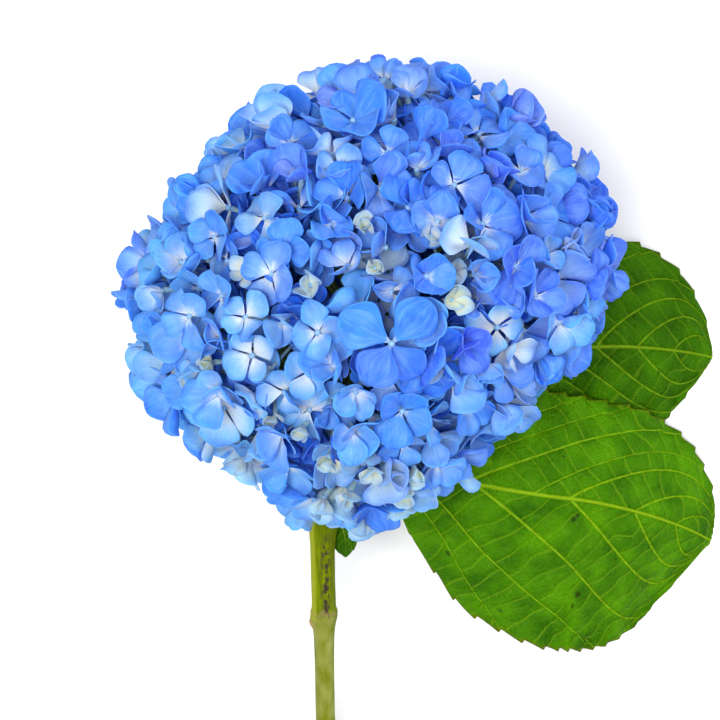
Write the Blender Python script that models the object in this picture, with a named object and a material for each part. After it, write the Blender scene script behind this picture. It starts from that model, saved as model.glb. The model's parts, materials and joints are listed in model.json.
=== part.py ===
"""A cut mophead hydrangea lying on its side: a ball of florets on branching rays, a cut stem and three leaves.

The flower lies along Y, with its crown at +Y and its cut stem end at -Y, and it rests on the plane Z = 0.
Lengths are in metres. Points written by hand are in millimetres, as (x, y) from the middle of the head
in plan and z above the plane that the flower rests on.
"""

import math

import bmesh
import bpy
from mathutils import Matrix, Vector

MM = 0.001

# The head: an ellipsoid, cut off flat where it rests.
HEAD_CENTRE = Vector((-0.0238, 0.06454, 0.072))
HEAD_HALF_LENGTH = 0.088
HEAD_HALF_WIDTH = 0.077
HEAD_HALF_HEIGHT = 0.076
HEAD_TURN = math.radians(34)
CHIN_DIRECTION = math.radians(266)
CHIN_GROWTH = 0.09

# Florets: four broad sepals on a thin pedicel.
FLORET_COUNT = 150
FLORET_MOST_RADIUS = 0.0135
FLORET_GAP = 0.0006
SEPAL_DROP = 0.0016
NOTCH_RADIUS = 0.68
SHOULDER_TURN = math.radians(21)
FLORET_DEPTH = 0.0036
PEDICEL_RADIUS = 0.0009
PEDICEL_SIDES = 4
STEM_CLEARANCE = 0.016

# Clusters of florets, and the rays that carry them.
CLUSTER_COUNT = 48
CLUSTER_DEPTH = 0.64
KNUCKLE_RADIUS = 0.0024
RAY_COUNT = 7
CROWN_RAY_SPREAD = math.radians(36)
RAY_FORK = 0.45
RAY_RADIUS = 0.0019
RAY_END_RADIUS = 0.0012
RAY_SIDES = 6
TOUCH_GAP = 0.0004

# The stem, from its cut end to the swelling that the rays grow from: (x, y, z, radius).
STEM_STATIONS = (
    (-15.5, -206.0, 2.8, 3.7),
    (-16.5, -170.0, 18.0, 3.6),
    (-17.0, -128.0, 35.0, 3.7),
    (-17.0, -120.5, 38.0, 5.0),
    (-17.2, -114.0, 40.5, 4.3),
    (-17.5, -92.0, 49.5, 4.6),
    (-17.0, -84.0, 52.5, 5.4),
    (-15.5, -72.0, 57.5, 4.5),
    (-13.5, -56.0, 63.5, 4.6),
    (-12.0, -48.0, 66.5, 6.0),
    (-11.3, -43.5, 68.2, 3.6),
)
STEM_SIDES = 12
STEM_CUT_TURN = math.radians(32)
RAY_ORIGIN = (-12.0, -48.0, 66.5)
RAY_START = 0.0082

# Leaves: petiole and midrib as (x, y, z) points, half widths along the blade, and how far each side sinks.
LARGE_PETIOLE = ((-13.1, -84.5, 47.6), (-9.8, -84.0, 41.0), (-2.5, -76.0, 26.5), (9.0, -66.0, 18.0))
LARGE_MIDRIB = (
    (6.0, -66.5, 18.5),
    (35.0, -71.0, 20.0),
    (62.0, -75.5, 20.5),
    (84.0, -78.5, 18.5),
    (103.0, -83.0, 14.0),
    (119.0, -88.5, 7.5),
    (130.5, -94.0, 0.8),
)
LARGE_LEFT_WIDTHS = (2.0, 22.0, 35.0, 39.0, 38.5, 38.0, 37.5, 34.0, 27.0, 16.0, 0.8)
LARGE_RIGHT_WIDTHS = (2.0, 27.0, 45.5, 53.0, 57.5, 57.5, 56.0, 51.5, 42.0, 25.0, 0.8)
LARGE_SINKS = (10.0, 13.0)

REAR_PETIOLE = (
    (-17.4, -82.0, 45.7),
    (-17.5, -81.5, 36.0),
    (-12.0, -72.0, 18.0),
    (2.0, -57.0, 7.0),
    (18.0, -44.0, 3.4),
    (41.0, -33.0, 3.2),
)
REAR_MIDRIB = (
    (37.0, -34.0, 3.0),
    (56.0, -26.0, 5.0),
    (74.0, -21.5, 8.0),
    (90.0, -20.0, 9.0),
    (106.0, -20.5, 7.6),
    (120.0, -22.0, 4.4),
    (131.0, -24.0, 0.8),
)
REAR_LEFT_WIDTHS = (2.0, 10.0, 20.0, 29.0, 36.0, 40.0, 39.5, 35.0, 27.0, 15.0, 0.8)
REAR_RIGHT_WIDTHS = (2.0, 12.0, 22.0, 28.5, 32.5, 34.0, 34.0, 31.0, 25.0, 14.0, 0.8)
REAR_SINKS = (5.0, 7.5)

SMALL_PETIOLE = ((-12.2, -83.4, 49.6), (-11.2, -83.5, 49.4), (-9.6, -85.0, 49.2))
SMALL_MIDRIB = ((-10.8, -83.6, 49.3), (-8.9, -88.0, 49.2), (-7.6, -93.0, 48.2), (-6.8, -98.4, 45.6))
SMALL_LEFT_WIDTHS = (1.0, 5.3, 5.4, 0.5)
SMALL_RIGHT_WIDTHS = (1.0, 4.0, 4.4, 0.5)
SMALL_SINKS = (1.0, 1.0)

LEAF_THICKNESS = 0.0009
LEAF_LOWEST = LEAF_THICKNESS / 2 + 0.0001
LEAF_LENGTH_STEPS = 14
LEAF_WIDTH_STEPS = 10
SMALL_LEAF_LENGTH_STEPS = 6
SMALL_LEAF_WIDTH_STEPS = 4
PETIOLE_RADIUS = 0.0021
SMALL_PETIOLE_RADIUS = 0.0011
PETIOLE_SIDES = 8

# Colours, as linear red, green and blue, and roughness.
MATERIALS = {
    "sepal_blue": ((0.10, 0.25, 0.80), 0.55),
    "sepal_pale": ((0.26, 0.46, 0.84), 0.55),
    "ray_green": ((0.30, 0.38, 0.16), 0.60),
    "stem_olive": ((0.22, 0.24, 0.03), 0.50),
    "leaf_green": ((0.06, 0.20, 0.01), 0.45),
    "leaf_dark_green": ((0.03, 0.12, 0.01), 0.45),
}
GOLDEN_ANGLE = math.pi * (3 - math.sqrt(5))


def clear_scene():
    for obj in list(bpy.data.objects):
        bpy.data.objects.remove(obj, do_unlink=True)


def make_material(name):
    colour, roughness = MATERIALS[name]
    material = bpy.data.materials.new(name)
    material.use_nodes = True
    shader = material.node_tree.nodes["Principled BSDF"]
    shader.inputs["Base Color"].default_value = (*colour, 1)
    shader.inputs["Roughness"].default_value = roughness
    shader.inputs["Metallic"].default_value = 0
    return material


def at(x, y, z):
    """A point given in millimetres from the head's middle in plan, at a height above the plane."""
    return Vector((HEAD_CENTRE.x + x * MM, HEAD_CENTRE.y + y * MM, z * MM))


def add_object(name, bm, parent, material=None):
    bmesh.ops.recalc_face_normals(bm, faces=bm.faces)
    mesh = bpy.data.meshes.new(name)
    bm.to_mesh(mesh)
    bm.free()
    obj = bpy.data.objects.new(name, mesh)
    bpy.context.scene.collection.objects.link(obj)
    obj.parent = parent
    if material:
        mesh.materials.append(material)
    else:
        obj.hide_render = True
        obj.display_type = "WIRE"
    return obj


def add_union(obj, other):
    """Joins other, a hidden helper, to obj, whose own shells may cross each other."""
    modifier = obj.modifiers.new("union", "BOOLEAN")
    modifier.operation = "UNION"
    modifier.solver = "EXACT"
    modifier.use_self = True
    modifier.object = other


def smooth_path(points, steps):
    """Points spaced along a Catmull-Rom curve through the given points or tuples of numbers."""
    ends = [Vector(p) for p in (points[0], *points, points[-1])]
    path = []
    for step in range(steps + 1):
        place = step / steps * (len(points) - 1)
        index = min(int(place), len(points) - 2)
        t = place - index
        a, b, c, d = ends[index : index + 4]
        path.append(0.5 * (2 * b + (c - a) * t + (2 * a - 5 * b + 4 * c - d) * t * t + (3 * b - a - 3 * c + d) * t**3))
    return path


def smooth_value(values, place):
    """One number read from evenly spaced values, with a smooth curve between them."""
    scaled = place * (len(values) - 1)
    index = min(int(scaled), len(values) - 2)
    t = scaled - index
    a, b, c, d = (values[max(0, min(len(values) - 1, index + k))] for k in (-1, 0, 1, 2))
    return 0.5 * (2 * b + (c - a) * t + (2 * a - 5 * b + 4 * c - d) * t * t + (3 * b - a - 3 * c + d) * t**3)


def add_tube(bm, path, radii, sides, first_turn=0.0):
    """Adds a closed tube along a path. first_turn leans the first ring over, for a slanted cut."""
    rings = []
    side = Vector((1, 0, 0))
    for index, point in enumerate(path):
        ahead = path[min(index + 1, len(path) - 1)] - path[max(index - 1, 0)]
        ahead.normalize()
        if abs(ahead.dot(side)) > 0.95:
            side = Vector((0, 1, 0))
        side = (side - side.dot(ahead) * ahead).normalized()
        up = ahead.cross(side)
        lean = math.tan(first_turn) if index == 0 else 0.0
        ring = []
        for corner in range(sides):
            turn = math.tau * corner / sides
            across = radii[index] * (math.cos(turn) * side + math.sin(turn) * up)
            ring.append(bm.verts.new(point + across + ahead * (lean * across.dot(up))))
        rings.append(ring)
    for lower, upper in zip(rings, rings[1:]):
        for corner in range(sides):
            nearer = (corner + 1) % sides
            bm.faces.new((lower[corner], lower[nearer], upper[nearer], upper[corner]))
    bm.faces.new(reversed(rings[0]))
    bm.faces.new(rings[-1])


def head_point(direction):
    """Where a direction from the head's centre meets the head's outside, without its flat rest."""
    long_axis = Vector((math.cos(HEAD_TURN), math.sin(HEAD_TURN), 0))
    short_axis = Vector((-math.sin(HEAD_TURN), math.cos(HEAD_TURN), 0))
    chin_axis = Vector((math.cos(CHIN_DIRECTION), math.sin(CHIN_DIRECTION), 0))
    chin = 1 + CHIN_GROWTH * max(0.0, direction.dot(chin_axis)) ** 3
    plan = (
        HEAD_HALF_LENGTH * direction.dot(long_axis) * long_axis
        + HEAD_HALF_WIDTH * direction.dot(short_axis) * short_axis
    )
    return HEAD_CENTRE + chin * plan + Vector((0, 0, HEAD_HALF_HEIGHT * direction.z))


def head_normal(direction):
    long_axis = Vector((math.cos(HEAD_TURN), math.sin(HEAD_TURN), 0))
    short_axis = Vector((-math.sin(HEAD_TURN), math.cos(HEAD_TURN), 0))
    normal = (
        direction.dot(long_axis) / HEAD_HALF_LENGTH * long_axis
        + direction.dot(short_axis) / HEAD_HALF_WIDTH * short_axis
        + Vector((0, 0, direction.z / HEAD_HALF_HEIGHT))
    )
    return normal.normalized()


def lattice(count):
    """Directions spread evenly over a ball, in a golden-angle spiral about +Y."""
    found = []
    for index in range(count):
        height = 1 - (2 * index + 1) / count
        across = math.sqrt(1 - height * height)
        turn = index * GOLDEN_ANGLE
        found.append(Vector((across * math.cos(turn), height, across * math.sin(turn))))
    return found


def distance_to_stem(point):
    """How far a point is from the stem's axis, below the head's middle."""
    axis = [at(*station[:3]) for station in STEM_STATIONS]
    nearest = math.inf
    for a, b in zip(axis, axis[1:]):
        along = max(0.0, min(1.0, (point - a).dot(b - a) / (b - a).length_squared))
        nearest = min(nearest, (point - a.lerp(b, along)).length)
    return nearest


def place_florets():
    """(direction, place, normal, radius) of each floret. Those that the head rests on lie flat."""
    placed = []
    for direction in lattice(FLORET_COUNT):
        place = head_point(direction)
        normal = head_normal(direction)
        if place.z < 0:
            place.z = 0
            normal = Vector((0, 0, -1))
        if distance_to_stem(place) > STEM_CLEARANCE:
            placed.append((direction, place, normal))
    florets = []
    for index, (direction, place, normal) in enumerate(placed):
        gaps = [(place - other[1]).length for k, other in enumerate(placed) if k != index]
        radius = min(FLORET_MOST_RADIUS, (min(gaps) - FLORET_GAP) / 2)
        florets.append((direction, place, normal, radius))
    return florets


def sepal_rim(radius):
    """The outline of a floret's four broad sepals, with a notch between each two."""
    rim = []
    for sepal in range(4):
        middle = math.radians(90 * sepal)
        for turn, reach in (
            (middle - math.radians(45), NOTCH_RADIUS),
            (middle - SHOULDER_TURN, 1.0),
            (middle + SHOULDER_TURN, 1.0),
        ):
            rim.append(Vector((math.cos(turn) * radius * reach, math.sin(turn) * radius * reach, -SEPAL_DROP * reach)))
    return rim


def add_floret(bm, floret, spin, knuckle):
    """Adds one floret facing outwards, and its pedicel down to the cluster's knuckle."""
    direction, place, normal, radius = floret
    frame = normal.to_track_quat("Z", "Y").to_matrix() @ Matrix.Rotation(spin, 3, "Z")
    rim = [frame @ point for point in sepal_rim(radius)]
    lift = max(0.0, -min(place.z + point.z for point in rim))
    centre = place + Vector((0, 0, lift))
    top = bm.verts.new(centre)
    edge = [bm.verts.new(centre + point) for point in rim]
    neck_place = centre + frame @ Vector((0, 0, -FLORET_DEPTH))
    neck, foot = [], []
    for corner in range(PEDICEL_SIDES):
        turn = math.tau * corner / PEDICEL_SIDES
        across = frame @ Vector((math.cos(turn) * PEDICEL_RADIUS, math.sin(turn) * PEDICEL_RADIUS, 0))
        neck.append(bm.verts.new(neck_place + across))
        foot.append(bm.verts.new(knuckle + across))
    for k in range(12):
        bm.faces.new((top, edge[k], edge[(k + 1) % 12]))
    for sepal in range(4):
        here, after = neck[sepal], neck[(sepal + 1) % 4]
        notch = edge[(3 * sepal + 3) % 12]
        bm.faces.new((here, edge[3 * sepal + 1], edge[3 * sepal]))
        bm.faces.new((here, edge[3 * sepal + 2], edge[3 * sepal + 1]))
        bm.faces.new((here, notch, edge[3 * sepal + 2]))
        bm.faces.new((here, after, notch))
        bm.faces.new((here, foot[sepal], foot[(sepal + 1) % 4], after))
    bm.faces.new(foot)


def group_florets(florets):
    """The florets of each cluster: each floret joins the nearest of an even spread of directions."""
    groups = [[] for _ in range(CLUSTER_COUNT)]
    middles = lattice(CLUSTER_COUNT)
    for floret in florets:
        nearest = max(range(CLUSTER_COUNT), key=lambda k: middles[k].dot(floret[0]))
        groups[nearest].append(floret)
    return [group for group in groups if group]


def knuckle_of(group):
    """Where a cluster's pedicels meet, under the middle of its florets."""
    middle = sum((floret[1] for floret in group), Vector()) / len(group)
    return HEAD_CENTRE + CLUSTER_DEPTH * (middle - HEAD_CENTRE)


def add_ball(name, place, radius, parent, material):
    bm = bmesh.new()
    bmesh.ops.create_icosphere(bm, subdivisions=1, radius=radius, matrix=Matrix.Translation(place))
    return add_object(name, bm, parent, material)


def build_clusters(parent, materials):
    """One object for each cluster of florets. Returns the places where the rays meet them."""
    knuckles = []
    spin = 0.0
    for number, group in enumerate(group_florets(place_florets()), 1):
        knuckle = knuckle_of(group)
        knuckles.append(knuckle)
        bm = bmesh.new()
        for floret in group:
            spin += GOLDEN_ANGLE
            add_floret(bm, floret, spin, knuckle)
        name = f"floret_cluster_{number:02d}"
        helper = add_object(name + "_florets", bm, parent)
        blue = materials["sepal_pale" if knuckle.y < HEAD_CENTRE.y else "sepal_blue"]
        add_union(add_ball(name, knuckle, KNUCKLE_RADIUS, parent, blue), helper)
    return knuckles


def group_knuckles(knuckles, origin, axis):
    """The knuckles that each ray carries: one ray up the middle, and the others by their turn about it."""
    side = axis.cross(Vector((0, 0, 1))).normalized()
    up = side.cross(axis)
    around = RAY_COUNT - 1
    groups = [[] for _ in range(RAY_COUNT)]
    for knuckle in knuckles:
        away = knuckle - origin
        if away.angle(axis) < CROWN_RAY_SPREAD:
            groups[0].append(knuckle)
            continue
        turn = math.atan2(away.dot(up), away.dot(side)) % math.tau
        groups[1 + int(turn / math.tau * around) % around].append(knuckle)
    return groups


def build_rays(parent, knuckles, material):
    """The branches between the stem and the clusters, each one forking into a twig for each knuckle."""
    origin = at(*RAY_ORIGIN)
    axis = (HEAD_CENTRE - origin).normalized()
    for number, group in enumerate(group_knuckles(knuckles, origin, axis), 1):
        middle = sum((knuckle - origin for knuckle in group), Vector()) / len(group)
        fork = origin + RAY_FORK * middle
        bm = bmesh.new()
        start = origin + middle.normalized() * RAY_START
        add_tube(bm, [start, fork], [RAY_RADIUS, RAY_RADIUS], RAY_SIDES)
        for knuckle in group:
            twig = knuckle - fork
            end = knuckle - twig.normalized() * (KNUCKLE_RADIUS + TOUCH_GAP)
            add_tube(bm, [fork, end], [RAY_END_RADIUS, RAY_END_RADIUS], RAY_SIDES)
        name = f"ray_{number}"
        helper = add_object(name + "_twigs", bm, parent)
        add_union(add_ball(name, fork, RAY_RADIUS * 1.5, parent, material), helper)


def build_stem(parent, material):
    bm = bmesh.new()
    path = [at(*station[:3]) for station in STEM_STATIONS]
    radii = [station[3] * MM for station in STEM_STATIONS]
    add_tube(bm, path, radii, STEM_SIDES, STEM_CUT_TURN)
    stem = add_object("stem", bm, parent, material)
    stem.data.shade_smooth()
    stem.data.set_sharp_from_angle(angle=math.radians(40))


def add_blade(bm, midrib, widths, sinks, length_steps, width_steps):
    """Adds a leaf blade as a sheet: its midrib, its width on each side, and how far each side sinks."""
    path = smooth_path([at(*point) for point in midrib], length_steps)
    rows = []
    for step, point in enumerate(path):
        ahead = path[min(step + 1, length_steps)] - path[max(step - 1, 0)]
        left = Vector((-ahead.y, ahead.x, 0)).normalized()
        row = []
        for column in range(width_steps + 1):
            across = 2 * column / width_steps - 1
            width = max(0.3, smooth_value(widths[across < 0], step / length_steps)) * MM
            fullness = width / (max(widths[across < 0]) * MM)
            sink = sinks[across < 0] * MM * abs(across) ** 1.6 * fullness
            place = point + left * (width * across)
            place.z = max(place.z - sink, LEAF_LOWEST)
            row.append(bm.verts.new(place))
        rows.append(row)
    for lower, upper in zip(rows, rows[1:]):
        for k in range(width_steps):
            bm.faces.new((lower[k], upper[k], upper[k + 1], lower[k + 1]))


def build_leaf(name, parent, material, petiole, midrib, widths, sinks, steps, petiole_radius):
    """A leaf in one piece: a thin blade with its petiole joined to it. widths are left and right."""
    bm = bmesh.new()
    add_blade(bm, midrib, widths, sinks, *steps)
    leaf = add_object(name, bm, parent, material)
    solidify = leaf.modifiers.new("thickness", "SOLIDIFY")
    solidify.thickness = LEAF_THICKNESS
    solidify.offset = 0
    bm = bmesh.new()
    path = smooth_path([at(*point) for point in petiole], 3 * (len(petiole) - 1))
    add_tube(bm, path, [petiole_radius] * len(path), PETIOLE_SIDES)
    add_union(leaf, add_object(name + "_petiole", bm, parent))


def build_leaves(parent, materials):
    full = (LEAF_LENGTH_STEPS, LEAF_WIDTH_STEPS)
    small = (SMALL_LEAF_LENGTH_STEPS, SMALL_LEAF_WIDTH_STEPS)
    build_leaf(
        "leaf_large", parent, materials["leaf_green"], LARGE_PETIOLE, LARGE_MIDRIB,
        (LARGE_LEFT_WIDTHS, LARGE_RIGHT_WIDTHS), LARGE_SINKS, full, PETIOLE_RADIUS,
    )
    build_leaf(
        "leaf_rear", parent, materials["leaf_dark_green"], REAR_PETIOLE, REAR_MIDRIB,
        (REAR_LEFT_WIDTHS, REAR_RIGHT_WIDTHS), REAR_SINKS, full, PETIOLE_RADIUS,
    )
    build_leaf(
        "leaf_small", parent, materials["leaf_dark_green"], SMALL_PETIOLE, SMALL_MIDRIB,
        (SMALL_LEFT_WIDTHS, SMALL_RIGHT_WIDTHS), SMALL_SINKS, small, SMALL_PETIOLE_RADIUS,
    )


def main():
    clear_scene()
    flower = bpy.data.objects.new("cut_hydrangea", None)
    bpy.context.scene.collection.objects.link(flower)
    materials = {name: make_material(name) for name in MATERIALS}
    build_stem(flower, materials["stem_olive"])
    build_leaves(flower, materials)
    knuckles = build_clusters(flower, materials)
    build_rays(flower, knuckles, materials["ray_green"])


main()
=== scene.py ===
import json
import math
import random

import bpy
from mathutils import Matrix, Vector, noise
from mathutils.bvhtree import BVHTree

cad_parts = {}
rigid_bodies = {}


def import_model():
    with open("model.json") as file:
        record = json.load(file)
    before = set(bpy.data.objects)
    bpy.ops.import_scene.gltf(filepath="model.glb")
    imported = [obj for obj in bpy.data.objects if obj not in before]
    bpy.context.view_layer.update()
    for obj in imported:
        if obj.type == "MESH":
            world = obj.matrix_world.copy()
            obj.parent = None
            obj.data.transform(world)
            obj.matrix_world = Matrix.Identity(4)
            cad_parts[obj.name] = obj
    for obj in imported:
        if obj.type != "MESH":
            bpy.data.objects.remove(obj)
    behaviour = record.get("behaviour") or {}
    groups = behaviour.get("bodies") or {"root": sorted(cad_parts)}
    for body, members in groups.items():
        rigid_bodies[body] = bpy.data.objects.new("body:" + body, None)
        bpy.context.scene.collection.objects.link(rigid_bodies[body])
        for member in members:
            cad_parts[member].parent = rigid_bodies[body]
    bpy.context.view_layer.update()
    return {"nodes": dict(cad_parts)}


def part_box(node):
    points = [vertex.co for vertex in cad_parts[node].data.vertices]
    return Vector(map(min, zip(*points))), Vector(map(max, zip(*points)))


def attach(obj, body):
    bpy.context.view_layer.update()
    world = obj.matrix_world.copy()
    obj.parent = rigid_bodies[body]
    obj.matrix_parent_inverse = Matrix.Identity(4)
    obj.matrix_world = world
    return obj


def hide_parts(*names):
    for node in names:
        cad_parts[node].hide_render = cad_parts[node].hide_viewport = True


for startup in list(bpy.data.objects):
    bpy.data.objects.remove(startup)
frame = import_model()
mm = 0.001

# Places given here are in millimetres: x and y from the middle of the head in plan, z above the table.
stemLow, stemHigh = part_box("stem")
head = {
    "fromStemTop": (6.1, 42.2),        # middle of the head, from the stem's high corner in X and Y
    "middleHeight": 72.0,
    "halfHeight": 74.0,
    # from the middle to the outline, every 30 degrees from +X towards +Y
    "outline": (83.0, 80.5, 76.5, 76, 70, 69, 80, 82, 76, 79.5, 65.5, 65.5),
    "restHeight": 2.2,                 # sepals lower than this are pressed flat on the table
    "leastHeight": 0.25,               # and end no lower than this
}
headX = stemHigh.x + head["fromStemTop"][0] * mm
headY = stemHigh.y + head["fromStemTop"][1] * mm


def at(x, y, z):
    return Vector((headX + x * mm, headY + y * mm, z * mm))


headMiddle = at(0, 0, head["middleHeight"])


# sRGB hex to linear light
def linear(hexColour):
    parts = [int(hexColour[k:k + 2], 16) / 255 for k in (1, 3, 5)]
    return [c / 12.92 if c <= 0.04045 else ((c + 0.055) / 1.055) ** 2.4 for c in parts] + [1]


# the output meant by a link that names only a node: a mix's colour, an attribute's value, an object place
mainOutput = {"ShaderNodeMix": 2, "ShaderNodeAttribute": 2, "ShaderNodeTexCoord": 3}


def addNode(tree, kind, settings=None, links=None):
    node = tree.nodes.new("ShaderNode" + kind)
    if kind == "Mix":
        node.data_type = "RGBA"
    for name, value in (settings or {}).items():
        if isinstance(name, str) and hasattr(node, name):
            setattr(node, name, value)
        else:
            node.inputs[name].default_value = value
    for name, source in (links or {}).items():
        if isinstance(source, bpy.types.Node):
            source = source.outputs[mainOutput.get(source.bl_idname, 0)]
        tree.links.new(source, node.inputs[name])
    return node


def newMaterial(name, values):
    material = bpy.data.materials.new(name)
    material.use_nodes = True
    shader = material.node_tree.nodes["Principled BSDF"]
    for socket, value in values.items():
        shader.inputs[socket].default_value = value
    return material, material.node_tree, shader


def linkShader(tree, shader, colour, bump):
    tree.links.new(colour.outputs[mainOutput.get(colour.bl_idname, 0)], shader.inputs["Base Color"])
    tree.links.new(bump.outputs[0], shader.inputs["Normal"])


def deselectAll():
    for obj in bpy.context.selected_objects:
        obj.select_set(False)


# the first of them becomes the active one
def selectOnly(*objects):
    deselectAll()
    for obj in objects:
        obj.select_set(True)
    bpy.context.view_layer.objects.active = objects[0]


def clamp(value, low=0.0, high=1.0):
    return min(high, max(low, value))


# on a smooth curve through four values, t from 0 at b to 1 at c
def curveThrough(a, b, c, d, t):
    return 0.5 * (2 * b + (c - a) * t + (2 * a - 5 * b + 4 * c - d) * t * t
                  + (3 * b - a - 3 * c + d) * t ** 3)


# one number from evenly spaced ones, place 0 to 1
def readSmooth(values, place):
    scaled = clamp(place) * (len(values) - 1)
    index = min(int(scaled), len(values) - 2)
    around = (values[clamp(index + k, 0, len(values) - 1)] for k in (-1, 0, 1, 2))
    return curveThrough(*around, scaled - index)


def readPath(points, place):
    return Vector([readSmooth([p[axis] for p in points], place) for axis in range(3)])


def ease(low, high, value):
    t = clamp((value - low) / (high - low))
    return t * t * (3 - 2 * t)


def applyModifiers(obj):
    selectOnly(obj)
    for modifier in list(obj.modifiers):
        bpy.ops.object.modifier_apply(modifier=modifier.name)


def setPointValues(obj, name, values):
    layer = obj.data.attributes.new(name, "FLOAT", "POINT")
    layer.data.foreach_set("value", values)


# places holds one (u, v) for each point
def setUvs(obj, places):
    layer = obj.data.uv_layers.active or obj.data.uv_layers.new(name="UVMap")
    flat = [c for loop in obj.data.loops for c in places[loop.vertex_index]]
    layer.data.foreach_set("uv", flat)


# a closed rod one unit long, from its foot at the origin up +Z, with its sides cut across
def makeRod(name, sides, cuts):
    deselectAll()
    bpy.ops.mesh.primitive_cylinder_add(vertices=sides, radius=1, depth=1, location=(0, 0, 0.5))
    obj = bpy.context.object
    obj.name = name
    bpy.ops.object.transform_apply(location=True)
    bpy.ops.object.mode_set(mode="EDIT")
    bpy.ops.mesh.select_mode(type="EDGE")
    bpy.ops.mesh.select_all(action="DESELECT")
    bpy.ops.object.mode_set(mode="OBJECT")
    for edge in obj.data.edges:
        low, high = (obj.data.vertices[k].co.z for k in edge.vertices)
        edge.select = abs(low - high) > 0.5
    bpy.ops.object.mode_set(mode="EDIT")
    bpy.ops.mesh.subdivide(number_cuts=cuts)
    bpy.ops.object.mode_set(mode="OBJECT")
    return obj


# camera, table and light

camera = {
    "offset": (-3.6, -25.1),           # what it looks at, from the middle of the head
    "distance": 1100,                  # above the middle of the head
    "frameWidth": 258.2,               # seen at that height
    "sensor": 36.0,
    "clipEnd": 20,                     # metres
}
bpy.ops.object.camera_add(location=at(*camera["offset"], head["middleHeight"] + camera["distance"]))
view = bpy.context.object
view.rotation_euler = (0, 0, 0)
view.data.sensor_width = camera["sensor"]
view.data.lens = camera["sensor"] * camera["distance"] / camera["frameWidth"]
view.data.clip_end = camera["clipEnd"]
bpy.context.scene.camera = view

studio = {
    "table": "#F4F4F4",
    "tableSize": 6,                    # metres, as are the lamps' places and size
    "air": 0.46,                       # light from all round
    "lamps": (((-0.8, -0.45, 3.1), 105.0), ((1.8, 1.4, 2.4), 62.0)),     # place and watts: key, then fill
    "lampSize": 2.0,
}
deselectAll()
bpy.ops.mesh.primitive_plane_add(size=studio["tableSize"], location=(0, 0, 0))
table = bpy.context.object
table.name = "table"
tableMaterial = newMaterial("white_card", {     # coated card: matt and even
    "Base Color": linear(studio["table"]), "Roughness": 0.8, "Specular IOR Level": 0.2})[0]
table.data.materials.append(tableMaterial)

for place, power in studio["lamps"]:
    bpy.ops.object.light_add(type="AREA", location=place)
    lamp = bpy.context.object
    lamp.data.shape = "DISK"
    lamp.data.size = studio["lampSize"]
    lamp.data.energy = power
    lamp.rotation_euler = (headMiddle - lamp.location).to_track_quat("-Z", "Y").to_euler()
world = bpy.data.worlds.new("studio_air")
world.use_nodes = True
world.node_tree.nodes["Background"].inputs["Color"].default_value = (1, 1, 1, 1)
world.node_tree.nodes["Background"].inputs["Strength"].default_value = studio["air"]
bpy.context.scene.world = world
bpy.context.scene.view_settings.view_transform = "Standard"
print("studio ready")


# sepals: thin, satin, white at the claw and blue outwards, with a fan of fine veins

sepalColours = {
    "sky": "#52A4FA",
    "cornflower": "#2C7AF2",
    "violet": "#4660E6",
    "claw": "#D6E6F8",
    "cream": "#D0DAA0",
    "pale": "#A9D0F6",
    "deep": "#1046DC",
    "veinShade": (0.55, 0.72, 0.95, 1),   # linear, multiplied in
    "veins": 16,                       # veins across a sepal: about 1 mm apart
    "streaks": 8.0,                    # soft streaks across a sepal, where cells hold more pigment
}


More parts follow.
